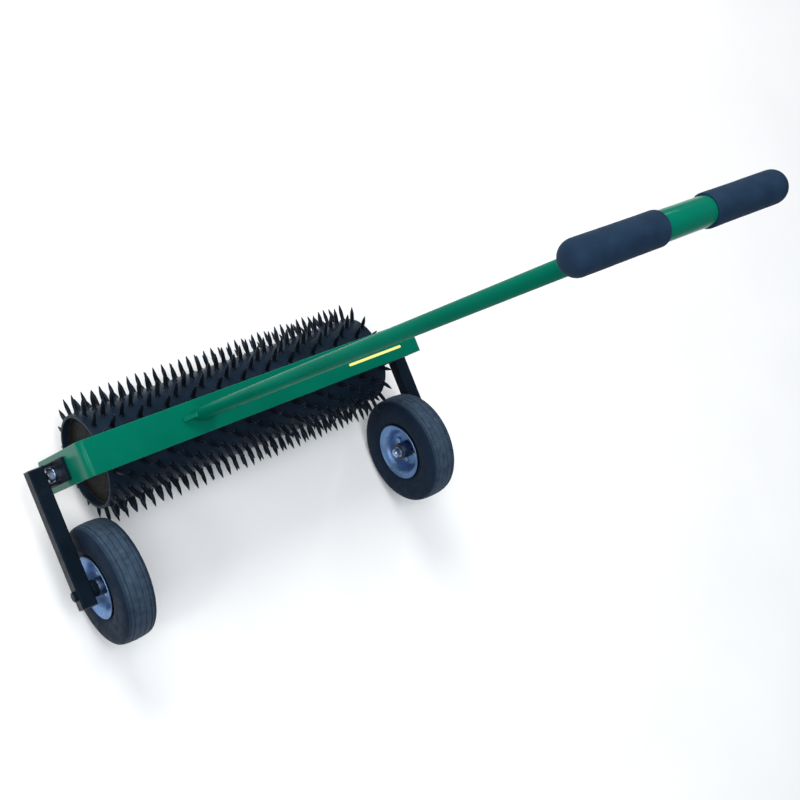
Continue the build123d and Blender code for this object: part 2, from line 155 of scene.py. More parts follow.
def flowing(points, steps=5):
    """A smooth open line through points (Catmull-Rom)."""
    ends = [points[0], *points, points[-1]]
    line = []
    for a, b, c, d in zip(ends, ends[1:], ends[2:], ends[3:]):
        a, b, c, d = Vector(a), Vector(b), Vector(c), Vector(d)
        for step in range(steps):
            t = step / steps
            line.append(tuple(
                0.5 * (2 * b + (c - a) * t + (2 * a - 5 * b + 4 * c - d) * t**2
                       + (3 * b - a - 3 * c + d) * t**3)
            ))
    line.append(tuple(points[-1]))
    return line


def ring(bm, start, end, inner, outer, centre, edge=0.4, segments=64):
    """A washer, collar, tube or disc, with rounded edges."""
    corners = [(start, inner, edge), (start, outer, edge), (end, outer, edge), (end, inner, edge)]
    lathe(bm, rounded(corners, 2), centre, segments=segments)


def hexagon(bm, seat, axis, flats, thickness, bore=0.0, chamfer_below=False):
    """A nut or a bolt head with turned chamfers. Its seat is the centre of its lower face."""
    side = axis.orthogonal().normalized()
    other = axis.cross(side).normalized()
    samples = 48
    chamfer_radius = 0.475 * flats
    slope = tan(radians(30))

    def circle(height, radius):
        loop = []
        for step in range(samples):
            angle = 2 * pi * step / samples
            corner = flats / 2 / cos((angle + pi / 6) % (pi / 3) - pi / 6)
            reach = corner if radius is None else radius
            drop = max(0, corner - chamfer_radius) * slope if radius is None else 0
            level = height - drop if height > 0 else height + (drop if chamfer_below else 0)
            spoke = cos(angle) * side + sin(angle) * other
            loop.append(seat + mm * (level * axis + reach * spoke))
        return loop

    loops = [circle(0, None), circle(thickness, None), circle(thickness, chamfer_radius)]
    if chamfer_below:
        loops.insert(0, circle(0, chamfer_radius))
    if bore:
        loops += [circle(thickness, bore + 0.5), circle(thickness - 0.5, bore), circle(0, bore)]
    skin(bm, loops, joined=bool(bore))


def thread(start, end, radius, pitch):
    """The outline of a threaded rod along its axis, from start to end, with chamfered ends."""
    sign = 1 if end > start else -1
    turns = int(abs(end - start) / pitch) - 1
    depth = 0.3 * pitch
    outline = [(start, radius)]
    for turn in range(turns):
        begin = start + sign * (turn + 0.5) * pitch
        outline += [(begin, radius), (begin + sign * pitch / 2, radius - depth)]
    outline += [(end - sign * 0.8, radius - 0.2), (end, radius - 1.4)]
    return outline


def weld(bm, path, radius, closed=False, seed=0, lumps=0.22):
    """A bead along a path of points in metres, with the ripples and lumps that a welder leaves."""
    around = 10
    ripple = 2.4 * mm
    distance = 0.0
    loops = []
    count = len(path)
    for i, point in enumerate(path):
        before = path[(i - 1) % count] if closed or i else point
        after = path[(i + 1) % count] if closed or i < count - 1 else point
        tangent = (after - before).normalized()
        side = tangent.orthogonal().normalized()
        other = tangent.cross(side)
        distance += (point - path[i - 1]).length if i else 0
        size = radius * (0.88 + 0.22 * abs(sin(pi * distance / ripple)))
        if not closed and i in (0, count - 1):
            size *= 0.5
        loop = []
        for step in range(around):
            angle = 2 * pi * step / around
            spoke = cos(angle) * side + sin(angle) * other
            place = point + mm * size * spoke
            rough = 1 + lumps * noise.noise(place * 420 + Vector((seed, 0, 0)))
            loop.append(point + mm * size * rough * spoke)
        loops.append(loop)
    skin(bm, loops, joined=closed)


def line(start, end, step=0.8):
    """Points from start to end, about step millimetres apart."""
    count = max(2, round((end - start).length / mm / step))
    return [start.lerp(end, i / count) for i in range(count + 1)]


def circle_path(centre, radius, axis=along_x, step=0.8):
    """Points on a circle about an axis, about step millimetres apart."""
    side = axis.orthogonal().normalized()
    other = axis.cross(side).normalized()
    count = round(2 * pi * radius / step)
    angles = [2 * pi * i / count for i in range(count)]
    return [centre + mm * radius * (cos(a) * side + sin(a) * other) for a in angles]


def piece(name, bm, material, body, stands_for=(), sharp=35):
    """Makes an object of the mesh, shades it, and puts it on its body."""
    bmesh.ops.recalc_face_normals(bm, faces=bm.faces)
    mesh = bpy.data.meshes.new(name)
    bm.to_mesh(mesh)
    bm.free()
    mesh.shade_smooth()
    mesh.set_sharp_from_angle(angle=radians(sharp))
    mesh.materials.append(material)
    made = bpy.data.objects.new(name, mesh)
    bpy.context.scene.collection.objects.link(made)
    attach(made, body)
    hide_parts(*stands_for)
    return made


def keep(node, material, edge=0.0):
    """A CAD node that stays: it gets its material, and softened edges if it has an edge size."""
    made = nodes[node]
    made.data.materials.clear()
    made.data.materials.append(material)
    if edge:
        merge = made.modifiers.new("merge", "WELD")
        merge.merge_threshold = 0.01 * mm
        bevel = made.modifiers.new("edges", "BEVEL")
        bevel.width = edge * mm
        bevel.segments = 3
        bevel.limit_method = "ANGLE"
        bevel.angle_limit = radians(40)
        normals = made.modifiers.new("normals", "WEIGHTED_NORMAL")
        normals.keep_sharp = True


# --- materials ------------------------------------------------------------------------------------


class Paint:
    """A Principled material, with short names for the nodes that the finishes below use."""

    def __init__(self, name, **sockets):
        self.material = bpy.data.materials.new(name)
        self.material.use_nodes = True
        self.tree = self.material.node_tree
        self.shader = self.tree.nodes["Principled BSDF"]
        for socket, value in sockets.items():
            self.shader.inputs[socket.replace("_", " ")].default_value = value
        self.place = self.tree.nodes.new("ShaderNodeTexCoord").outputs["Object"]

    def node(self, kind, values=None, **links):
        made = self.tree.nodes.new(kind)
        for key, value in (values or {}).items():
            if key in made.inputs:
                made.inputs[key].default_value = value
            else:
                setattr(made, key, value)
        for socket, source in links.items():
            self.tree.links.new(source, made.inputs[socket.replace("_", " ")])
        return made

    def noise(self, scale, detail=3.0, roughness=0.5, stretch=None):
        """Noise with about scale bumps in a metre."""
        place = self.place
        if stretch:
            mapped = self.node("ShaderNodeMapping", {"Scale": stretch}, Vector=place)
            place = mapped.outputs["Vector"]
        values = {"Scale": scale, "Detail": detail, "Roughness": roughness}
        return self.node("ShaderNodeTexNoise", values, Vector=place).outputs["Fac"]

    def cells(self, scale, output="Distance"):
        return self.node("ShaderNodeTexVoronoi", {"Scale": scale}, Vector=self.place).outputs[output]

    def between(self, source, low, high, start=0.0, end=1.0):
        """Takes source from low...high to start...end, and no further."""
        values = {"From Min": low, "From Max": high, "To Min": start, "To Max": end}
        return self.node("ShaderNodeMapRange", values, Value=source).outputs["Result"]

    def times(self, first, second):
        made = self.tree.nodes.new("ShaderNodeMath")
        made.operation = "MULTIPLY"
        self.tree.links.new(first, made.inputs[0])
        self.tree.links.new(second, made.inputs[1])
        return made.outputs[0]

    def blend(self, factor, first, second):
        """A colour from first to second; each is a colour or another blend."""
        made = self.tree.nodes.new("ShaderNodeMix")
        made.data_type = "RGBA"
        self.tree.links.new(factor, made.inputs["Factor"])
        for socket, colour in ((made.inputs[6], first), (made.inputs[7], second)):
            if isinstance(colour, tuple):
                socket.default_value = (*colour, 1)
            else:
                self.tree.links.new(colour, socket)
        return made.outputs[2]

    def distance(self, centre):
        """The distance from the line along X through centre, in metres."""
        moved = self.node("ShaderNodeVectorMath", {"operation": "SUBTRACT"})
        self.tree.links.new(self.place, moved.inputs[0])
        moved.inputs[1].default_value = centre
        flat = self.node("ShaderNodeVectorMath", {"operation": "MULTIPLY"})
        self.tree.links.new(moved.outputs[0], flat.inputs[0])
        flat.inputs[1].default_value = (0, 1, 1)
        length = self.node("ShaderNodeVectorMath", {"operation": "LENGTH"})
        self.tree.links.new(flat.outputs[0], length.inputs[0])
        return length.outputs["Value"]

    def colour(self, source):
        self.tree.links.new(source, self.shader.inputs["Base Color"])

    def roughness(self, source):
        self.tree.links.new(source, self.shader.inputs["Roughness"])

    def bump(self, *layers):
        """Each layer is (height, depth in millimetres)."""
        normal = None
        for height, depth in layers:
            bump = self.node("ShaderNodeBump", {"Distance": depth * mm, "Strength": 1.0}, Height=height)
            if normal:
                self.tree.links.new(normal, bump.inputs["Normal"])
            normal = bump.outputs["Normal"]
        self.tree.links.new(normal, self.shader.inputs["Normal"])


def green_paint(name, gloss):
    """Glossy enamel with a little orange peel, a few dusty patches and small chips."""
    paint = Paint(name, Specular_IOR_Level=gloss, Specular_Tint=(0.5, 1.0, 0.9, 1))
    tone = paint.between(paint.noise(5, 3), 0.3, 0.7)
    colour = paint.blend(tone, (0.0, 0.108, 0.066), (0.0, 0.133, 0.083))
    dust = paint.between(paint.noise(14, 6, 0.65), 0.58, 0.80, 0.0, 0.18)
    colour = paint.blend(dust, colour, (0.015, 0.135, 0.092))
    chips = paint.between(paint.noise(160, 2, 0.5), 0.760, 0.775)
    paint.colour(paint.blend(chips, colour, (0.06, 0.09, 0.08)))
    paint.roughness(paint.between(paint.noise(40, 4), 0.3, 0.7, 0.14, 0.26))
    paint.bump((paint.noise(260, 1), 0.05), (paint.noise(35, 2), 0.10))
    return paint.material


def black_paint(name, low, high, gloss, peel):
    """Satin black enamel tinted blue in its colour and in its reflections, a painted reflection of a blue
    sky; gloss is how much it reflects, and peel how uneven it is.
    """
    paint = Paint(name, Specular_IOR_Level=gloss, Specular_Tint=(0.30, 0.60, 1.0, 1))
    tone = paint.between(paint.noise(9, 4), 0.3, 0.7)
    colour = paint.blend(tone, low, high)
    dust = paint.between(paint.noise(30, 6, 0.7), 0.58, 0.85, 0.0, 0.08)
    paint.colour(paint.blend(dust, colour, (0.07, 0.09, 0.12)))
    paint.roughness(paint.between(paint.noise(55, 5), 0.3, 0.7, 0.26, 0.44))
    paint.bump((paint.noise(300, 2), 0.05 * peel), (paint.noise(30, 3), 0.2 * peel))
    return paint.material


def spike_paint():
    """The same enamel over rough forged spikes, lighter grey in patches at their points."""
    paint = Paint("spike enamel", Specular_IOR_Level=0.16, Specular_Tint=(0.4, 0.7, 1.0, 1))
    tone = paint.between(paint.noise(60, 4), 0.3, 0.7)
    colour = paint.blend(tone, (0.003, 0.004, 0.007), (0.007, 0.010, 0.016))
    point = paint.between(paint.distance(axle), 0.1345, 0.1385)
    # Lighter grey patches at the spike points, near the tip radius.
    grey_points = paint.times(point, paint.between(paint.noise(500, 3), 0.46, 0.62))
    paint.colour(paint.blend(grey_points, colour, (0.10, 0.10, 0.10)))
    paint.roughness(paint.between(paint.noise(180, 4), 0.3, 0.7, 0.22, 0.46))
    paint.bump((paint.noise(700, 3), 0.10))
    return paint.material


def disc_paint():
    """Thin dark paint that lets brown steel through in patches."""
    paint = Paint("brown-black steel", Specular_IOR_Level=0.07)
    tone = paint.between(paint.noise(22, 6, 0.6), 0.38, 0.66)
    colour = paint.blend(tone, (0.006, 0.008, 0.009), (0.017, 0.016, 0.015))
    rust = paint.between(paint.noise(90, 5, 0.6), 0.60, 0.74, 0.0, 0.5)
    paint.colour(paint.blend(rust, colour, (0.050, 0.028, 0.018)))
    paint.roughness(paint.between(paint.noise(120, 4), 0.3, 0.7, 0.45, 0.70))
    paint.bump((paint.noise(400, 4), 0.08), (paint.noise(60, 3), 0.15))
    return paint.material


def zinc(name, low, high, spangle, smooth, rough):
    """Zinc plate: a soft patchwork of tones, small scratches and dull spots."""
    paint = Paint(name, Metallic=1.0)
    patch = paint.cells(spangle, "Color")
    tone = paint.between(patch, 0.1, 0.9)
    colour = paint.blend(tone, low, high)
    dull = paint.between(paint.noise(70, 6, 0.6), 0.54, 0.76, 0.0, 0.5)
    paint.colour(paint.blend(dull, colour, tuple(0.6 * part for part in low)))
    paint.roughness(paint.between(paint.noise(110, 4), 0.3, 0.7, smooth, rough))
    paint.bump((paint.noise(900, 2), 0.02), (paint.noise(45, 2), 0.12))
    return paint.material


def tyre_rubber(name, centre):
    """Dark rubber with fine grain; the tread round centre is dusty where it meets the ground."""
    paint = Paint(name, Specular_IOR_Level=0.08, Specular_Tint=(0.4, 0.7, 1.0, 1))
    tone = paint.between(paint.noise(18, 5), 0.3, 0.7)
    colour = paint.blend(tone, (0.005, 0.011, 0.023), (0.009, 0.017, 0.033))
    dust = paint.between(paint.noise(110, 6, 0.7), 0.52, 0.85, 0.0, 0.20)
    colour = paint.blend(dust, colour, (0.030, 0.050, 0.078))
    tread = paint.between(paint.distance(centre), 0.1225, 0.1268)
    worn = paint.times(tread, paint.between(paint.noise(60, 6, 0.7), 0.30, 0.70, 0.25, 0.75))
    paint.colour(paint.blend(worn, colour, (0.062, 0.096, 0.140)))
    paint.roughness(paint.between(paint.noise(60, 4), 0.3, 0.7, 0.50, 0.72))
    paint.bump((paint.noise(1300, 2), 0.05), (paint.noise(200, 3), 0.08))
    return paint.material


def foam_rubber():
    """Moulded foam: a matt skin with small closed pores."""
    paint = Paint("grip foam", Specular_IOR_Level=0.06, Specular_Tint=(0.5, 0.75, 1.0, 1))
    tone = paint.between(paint.noise(45, 5), 0.3, 0.7)
    colour = paint.blend(tone, (0.0095, 0.0215, 0.043), (0.0135, 0.0305, 0.059))
    scuff = paint.between(paint.noise(170, 5, 0.7), 0.60, 0.85, 0.0, 0.3)
    paint.colour(paint.blend(scuff, colour, (0.027, 0.050, 0.085)))
    paint.roughness(paint.between(paint.noise(90, 3), 0.3, 0.7, 0.55, 0.72))
    pores = paint.between(paint.cells(950), 0.0, 0.5)
    paint.bump((pores, 0.06), (paint.noise(350, 3), 0.10), (paint.noise(40, 2), 0.25))
    return paint.material


def plain(name, low, high, roughness, metallic=0.0, grain=400, depth=0.05):
    """Vinyl, plastic, bronze or turned steel: two close tones, uneven gloss and a fine grain."""
    paint = Paint(name, Metallic=metallic, Specular_IOR_Level=0.3)
    paint.colour(paint.blend(paint.between(paint.noise(35, 4), 0.3, 0.7), low, high))
    paint.roughness(paint.between(paint.noise(90, 4), 0.3, 0.7, 0.8 * roughness, 1.2 * roughness))
    paint.bump((paint.noise(grain, 2), depth))
    return paint.material


green = green_paint("green enamel", 0.12)
pipe_green = green_paint("pipe enamel", 0.012)
# The blue in these black tones is a painted reflection of a blue sky.
black = black_paint("black enamel", (0.0035, 0.0068, 0.0115), (0.007, 0.0125, 0.021), 0.05, 0.7)
drum_black = black_paint("drum enamel", (0.0050, 0.0100, 0.0180), (0.0100, 0.0190, 0.034), 0.06, 2.0)
spike_black = spike_paint()
disc_steel = disc_paint()
bright_zinc = zinc("zinc plate", (0.32, 0.42, 0.58), (0.44, 0.55, 0.74), 900, 0.26, 0.42)
rim_zinc = zinc("rim zinc", (0.14, 0.25, 0.45), (0.20, 0.33, 0.57), 350, 0.42, 0.58)
# A darker copy of the rim zinc for the hub sleeves: painted shade where the hubs sit deep in the rims' bowls.
shaded_hub_zinc = zinc("hub zinc", (0.05, 0.08, 0.14), (0.09, 0.13, 0.22), 350, 0.32, 0.50)
foam = foam_rubber()
tube_rubber = plain("tube rubber", (0.012, 0.012, 0.013), (0.020, 0.020, 0.022), 0.5)
plastic = plain("black polyethylene", (0.012, 0.013, 0.016), (0.020, 0.021, 0.025), 0.45)
vinyl = plain("yellow vinyl", (0.78, 0.70, 0.16), (0.88, 0.80, 0.26), 0.32, depth=0.01)
bronze = plain("sintered bronze", (0.32, 0.21, 0.10), (0.45, 0.30, 0.15), 0.45, 1.0, 900)
steel = plain("turned steel", (0.42, 0.42, 0.42), (0.56, 0.56, 0.55), 0.30, 1.0, 700, 0.02)

# --- drum -----------------------------------------------------------------------------------------
shell = bmesh.new()
shell_corners = [
    (-drum_end, drum_bore, 0.3), (-drum_end, drum_radius, 0.6),
    (drum_end, drum_radius, 0.6), (drum_end, drum_bore, 0.3),
]
lathe(shell, rounded(shell_corners), axle, segments=180)
piece("roller_shell", shell, drum_black, "drum", ["drum_shell"])

for side_name, sign in sides:
    disc = bmesh.new()
    ring(disc, sign * (disc_face - disc_thickness), sign * disc_face, hub_radius, drum_bore, axle, 0.2, 120)
    piece(f"end_disc_{side_name}", disc, disc_steel, "drum", [f"drum_end_disc_{side_name}"])

    hub = bmesh.new()
    hub_start = disc_face - 2 * disc_thickness
    ring(hub, sign * hub_start, sign * hub_end, hub_bore, hub_radius, axle, 0.8, 72)
    piece(f"drum_hub_{side_name}_turned", hub, disc_steel, "drum", [f"drum_hub_{side_name}"])

    beads = bmesh.new()
    disc_centre = yoke(sign * disc_face, 0, 0)
    weld(beads, circle_path(disc_centre, drum_bore - 1.2), radius=3.0, closed=True, seed=sign)
    weld(beads, circle_path(disc_centre, hub_radius + 0.6), radius=2.6, closed=True, seed=sign + 5)
    piece(f"end_disc_welds_{side_name}", beads, disc_steel, "drum", sharp=60)

# --- spikes ---------------------------------------------------------------------------------------
spike_rows = 36
spike_pitch = 62.5
spike_sides = 14
# Height above the drum as a part of the spike's height, and radius in millimetres.
spike_profile = [(-0.03, 6.8), (0.012, 6.4), (0.035, 5.6), (0.07, 4.6), (0.14, 4.3), (0.32, 4.45),
                 (0.50, 4.4), (0.60, 4.1), (0.72, 3.25), (0.86, 2.0), (0.95, 1.15), (0.985, 0.75), (1.0, 0.2)]
weld_levels = 4


def spike(bm, x, angle, chance):
    """One spike at x along the drum. Each differs a little, as forged and welded ones do."""
    radial = Matrix.Rotation(angle, 3, along_x) @ Vector((0, 0, 1))
    tangent = along_x.cross(radial)
    lean_x = chance.uniform(-0.018, 0.018)
    lean_round = chance.uniform(-0.018, 0.018)
    height = tip_radius - drum_radius - chance.uniform(0.0, 1.2)
    stoutness = chance.uniform(0.93, 1.05)
    twist = chance.uniform(0, pi / 2)
    flat = chance.uniform(0.02, 0.10)
    lump = Vector((x, angle * 100, 0))
    foot = axle + mm * (x * along_x + drum_radius * radial)
    loops = []
    for level, (part, radius) in enumerate(spike_profile):
        climb = part * height
        middle = foot + mm * (climb * radial + climb * lean_x * along_x + climb * lean_round * tangent)
        loop = []
        for step in range(spike_sides):
            turn = 2 * pi * step / spike_sides
            reach = radius * stoutness * (1 - flat * cos(4 * (turn - twist)))
            if level < weld_levels:
                bead = noise.noise(lump + Vector((1.6 * cos(turn), 1.6 * sin(turn), 0.4 * level)))
                reach = radius * (1 + 0.22 * bead)
            spoke = cos(turn) * along_x + sin(turn) * tangent
            loop.append(middle + mm * reach * spoke)
        loops.append(loop)
    skin(bm, loops)


spike_mesh = bmesh.new()
spike_chance = Random(7)
for row in range(spike_rows):
    row_angle = radians((row + 0.5) * 360 / spike_rows)
    in_row = 12 if row % 2 == 0 else 11
    for number in range(in_row):
        spike(spike_mesh, (number - (in_row - 1) / 2) * spike_pitch, row_angle, spike_chance)
piece("spike_rows", spike_mesh, spike_black, "drum", ["spikes"], sharp=50)

# --- axle -----------------------------------------------------------------------------------------
axle_end = 442.0
axle_radius = 10.0
axle_thread_radius = 8.0
axle_thread_pitch = 2.0
axle_nut_flats = 24.0
axle_nut_height = 10.0
axle_washer_radius = 14.8
collar_start = 372.8
collar_radius = 14.0
rod = bmesh.new()
right_end = thread(leg_face, axle_end, axle_thread_radius, axle_thread_pitch)
left_end = thread(-leg_face, -axle_end, axle_thread_radius, axle_thread_pitch)
rod_outline = [(axle_end, 0.01), *reversed(right_end), (leg_face, axle_radius),
               (-leg_face, axle_radius), *left_end, (-axle_end, 0.01)]
lathe(rod, rod_outline, axle, segments=48, closed=False)
piece("axle_rod", rod, steel, "frame", ["drum_axle"])

collars = bmesh.new()
washers = bmesh.new()
nuts = bmesh.new()
washer_face = bracket_face + washer_thickness
for side_name, sign in sides:
    ring(collars, sign * collar_start, sign * leg_face, axle_radius + running_play, collar_radius, axle, 0.6)
    washer_bore = axle_thread_radius + washer_play
    ring(washers, sign * bracket_face, sign * washer_face, washer_bore, axle_washer_radius, axle)
    nut_seat = yoke(sign * washer_face, 0, 0)
    hexagon(nuts, nut_seat, sign * along_x, axle_nut_flats, axle_nut_height, axle_thread_radius, True)
piece("turned_collars", collars, steel, "frame", ["axle_collars"])
piece("axle_flat_washers", washers, bright_zinc, "frame", ["axle_washers"])
piece("axle_hex_nuts", nuts, bright_zinc, "frame", ["axle_nuts"], sharp=25)

# --- yoke -----------------------------------------------------------------------------------------
# The flat bar follows a centre line up one leg, round two tight bends and down the other leg.
bend_radius = 10.0
leg_x = yoke_half_width - bar_thickness / 2
bend_x = leg_x - bend_radius
bend_z = yoke_front - bar_thickness / 2 - bend_radius
corner_radius = 5.0
edge_radius = 1.4


def bar_section(centre, outward, narrower=0.0):
    """The bar's cross-section. Centre, on the centre line, and outward, off the bar, are (x, z)."""
    half_width = bar_half_width - narrower
    half_thickness = bar_thickness / 2
    corners = [(-half_width, -half_thickness, edge_radius), (half_width, -half_thickness, edge_radius),
               (half_width, half_thickness, edge_radius), (-half_width, half_thickness, edge_radius)]
    return [yoke(centre[0] + up * outward[0], across, centre[1] + up * outward[1])
            for across, up in rounded(corners)]


bar_loops = []
for distance in (0.0, 0.5, 1.5, 3.0, corner_radius):
    narrower = corner_radius - sqrt(corner_radius**2 - (corner_radius - distance) ** 2)
    bar_loops.append(bar_section((-leg_x, -yoke_back + distance), (-1, 0), narrower))
bend_steps = 8
for step in range(bend_steps + 1):
    angle = pi / 2 * step / bend_steps
    outward = (-cos(angle), sin(angle))
    centre = (-bend_x + bend_radius * outward[0], bend_z + bend_radius * outward[1])
    bar_loops.append(bar_section(centre, outward))
mirrored = [[point - 2 * point.x * along_x for point in loop] for loop in reversed(bar_loops)]
yoke_mesh = bmesh.new()
skin(yoke_mesh, bar_loops + mirrored)
piece("bent_bar", yoke_mesh, green, "frame", ["yoke_bar"])

# --- handle ---------------------------------------------------------------------------------------
foot = yoke(handle_foot_x, foot_y, yoke_front)
top = yoke(handle_x, t_bar_y, t_bar_z)
handle_axis = (top - foot).normalized()
handle_length = (top - foot).length / mm
handle_bore = 11.0
tube_start = -2.0
tube_end = handle_length - 15.0
tube_outline = [(tube_start, handle_bore), (tube_start, handle_radius),
                (tube_end, handle_radius), (tube_end, handle_bore)]
tube = bmesh.new()
lathe(tube, tube_outline, foot, handle_axis)
piece("handle_pipe", tube, pipe_green, "frame", ["handle_tube"])

t_bar_bore = 16.45
t_bar = bmesh.new()
ring(t_bar, -t_bar_half_length, t_bar_half_length, t_bar_bore, t_bar_radius, top, 0.5, 96)
piece("t_bar_pipe", t_bar, green, "frame", ["t_bar_tube"])

for side_name, sign in sides:
    keep(f"handle_gusset_{side_name}", green, 1.2)

handle_welds = bmesh.new()
foot_bead = circle_path(foot + 1.0 * mm * up_handle, handle_radius + 0.4, up_handle)
weld(handle_welds, foot_bead, radius=2.2, closed=True, seed=3, lumps=0.6)
gusset_length = handle_radius + gusset_leg
gusset_faces = (-4.0, 4.0)
for sign in (-1, 1):
    for edge in gusset_faces:
        start = yoke(handle_foot_x + sign * handle_radius, foot_y + edge, yoke_front)
        end = yoke(handle_foot_x + sign * (gusset_length - 2), foot_y + edge, yoke_front)
        weld(handle_welds, line(start, end), radius=2.4, seed=sign + edge, lumps=0.6)
        tall = start + (gusset_leg - 2) * mm * handle_axis
        weld(handle_welds, line(start, tall), radius=2.0, seed=sign + edge + 9, lumps=0.6)
joint_path = []
joint_steps = 110
handle_side = handle_axis.cross(along_x)
for step in range(joint_steps):
    angle = 2 * pi * step / joint_steps
    across = handle_radius * sin(angle)
    drop = sqrt(t_bar_radius**2 - across**2)
    spoke = handle_radius * cos(angle) * along_x + across * handle_side
    joint_path.append(top + mm * (spoke - drop * handle_axis))
weld(handle_welds, joint_path, radius=2.2, closed=True, seed=21)
piece("handle_welds", handle_welds, green, "frame", sharp=60)

grip_outer_end = 200.5
grip_radius = 22.0
grip_bore = 19.5
bore_end = t_bar_half_length + 0.5
dome_radius = 20.0
dome_start = grip_outer_end - dome_radius
dome_steps = 14
unevenness = 0.12
# The grip's outside as (along the T bar, radius), from its inner lip to the start of its dome.
grip_line = [(44.9, 19.3), (44.6, 20.4), (45.4, 21.4), (47.6, 21.9), (54, 21.9), (75, 21.75),
             (110, 21.8), (150, 21.95), (dome_start, grip_radius)]
for side_name, sign in sides:
    outline = flowing(grip_line, 6)
    for step in range(1, dome_steps + 1):
        turn = pi / 2 * step / dome_steps
        along = dome_start + dome_radius * sin(turn)
        outline.append((along, grip_radius - dome_radius * (1 - cos(turn))))
    outline += [(grip_outer_end, 0.05), (bore_end, 0.05), (bore_end, t_bar_radius + 0.1)]
    grip = bmesh.new()
    lathe(grip, [(sign * along, radius) for along, radius in outline], top, segments=96)
    for vert in grip.verts:
        spoke = vert.co - top
        along = abs(spoke.x) / mm
        spoke.x = 0
        if spoke.length > grip_bore * mm or along > dome_start:
            fade = min(1.0, (grip_outer_end - along) / dome_radius)
            dent = 0.5 + noise.noise(vert.co * 90)
            vert.co -= spoke.normalized() * unevenness * mm * fade * dent
    cad_grip = f"grip_{side_name}"
    made = piece(f"foam_{cad_grip}", grip, foam, "frame", [cad_grip], sharp=50)

keep("stripe_decal", vinyl)

# --- wheel arms and brackets ----------------------------------------------------------------------
bolt_z = -44.0
bolt_radius = 5.0
bolt_pitch = 1.5
bolt_tail = 12.0
bolt_flats = 16.0
bolt_head = 6.4
bolt_nut = 8.0
bolt_washer = 2.0
bolt_washer_radius = 10.0
ear_places = (-19.5, 19.5)
ear_faces = (-2.5, 2.5)
ear_weld_end = 13.0
bracket_welds = bmesh.new()
bracket_fasteners = bmesh.new()
bracket_washers = bmesh.new()
bracket_nuts = bmesh.new()
for side_name, sign in sides:
    keep(f"wheel_arm_{side_name}", black)
    keep(f"arm_plugs_{side_name}", plastic, 0.8)
    keep(f"arm_bracket_{side_name}", black, 0.8)
    keep(f"bracket_ears_{side_name}", black, 0.6)
    for ear in ear_places:
        for edge in ear_faces:
            for face in (bracket_face, arm_face):
                start = yoke(sign * face, ear + edge, -ear_weld_end)
                end = yoke(sign * face, ear + edge, ear_weld_end)
                weld(bracket_welds, line(start, end), radius=1.6, seed=ear + edge + face)
    outer_washer = bracket_face + bolt_washer
    inner_washer = leg_face - bolt_washer
    bolt_end = inner_washer - bolt_tail
    bolt_line = yoke(0, 0, bolt_z)
    bore = bolt_radius + washer_play
    for near, far in ((bracket_face, outer_washer), (leg_face, inner_washer)):
        ring(bracket_washers, sign * near, sign * far, bore, bolt_washer_radius, bolt_line, 0.3, 48)
    head_seat = yoke(sign * outer_washer, 0, bolt_z)
    nut_seat = yoke(sign * inner_washer, 0, bolt_z)
    hexagon(bracket_fasteners, head_seat, sign * along_x, bolt_flats, bolt_head)
    hexagon(bracket_nuts, nut_seat, -sign * along_x, bolt_flats, bolt_nut, bolt_radius, True)
    shank = [(sign * outer_washer, 0.01), (sign * outer_washer, bolt_radius)]
    shank += thread(sign * inner_washer, sign * bolt_end, bolt_radius, bolt_pitch)
    shank += [(sign * bolt_end, 0.01)]
    lathe(bracket_fasteners, shank, bolt_line, segments=32, closed=False)
piece("bracket_hex_bolts", bracket_fasteners, bright_zinc, "frame", ["bracket_bolts"], sharp=25)
piece("bracket_flat_washers", bracket_washers, bright_zinc, "frame", ["bracket_washers"])
piece("bracket_hex_nuts", bracket_nuts, bright_zinc, "frame", ["bracket_nuts"], sharp=25)
piece("bracket_ear_welds", bracket_welds, black, "frame", sharp=60)

# --- wheels ---------------------------------------------------------------------------------------
# Grooves round the tread as (across, depth, half of the width).
grooves = [(-26.2, 1.2, 0.8), (-18.9, 1.8, 1.2), (-6.3, 1.8, 1.2),
           (6.3, 1.8, 1.2), (18.9, 1.8, 1.2), (26.2, 1.2, 0.8)]
tread_samples = 144
# Half of the tyre's section as (across, radius), from the bead to the middle of the tread.
tyre_side = [(27.0, 59.0), (28.3, 63.0), (31.0, 68.5), (34.3, 75.5), (36.2, 85.0),
             (36.5, 96.0), (36.3, 106.0), (35.0, 114.5), (32.6, 120.3), (29.6, 123.6)]
tyre_tread = [(28.6, 124.3), (24.0, 125.9), (14.0, 127.3), (0.0, 128.0)]
tyre_inside = [(22.0, 59.0), (24.0, 66.0), (29.0, 78.0), (31.0, 90.0),
               (30.5, 102.0), (27.0, 111.0), (17.0, 117.5), (0.0, 119.0)]


def tyre_outline():
    """The tyre's closed section as (across, radius), with round shoulders and a grooved tread."""
    half = flowing(tyre_side, 5)
    crown = flowing(tyre_tread, 8)
    across_tread = []
    for step in range(tread_samples + 1):
        across = crown[0][0] * (1 - 2 * step / tread_samples)
        for (far, low), (near, high) in zip(crown, crown[1:]):
            if near <= abs(across) <= far:
                radius = low + (high - low) * (far - abs(across)) / (far - near)
        for place, depth, half_width in grooves:
            inward = abs(across - place) / half_width
            if inward < 1:
                radius -= depth * (1 - inward**4)
        across_tread.append((across, radius))
    outside = half + across_tread + [(-across, radius) for across, radius in reversed(half)]
    inner = flowing(tyre_inside, 3)
    inside = [(-across, radius) for across, radius in inner] + list(reversed(inner[:-1]))
    return outside + inside


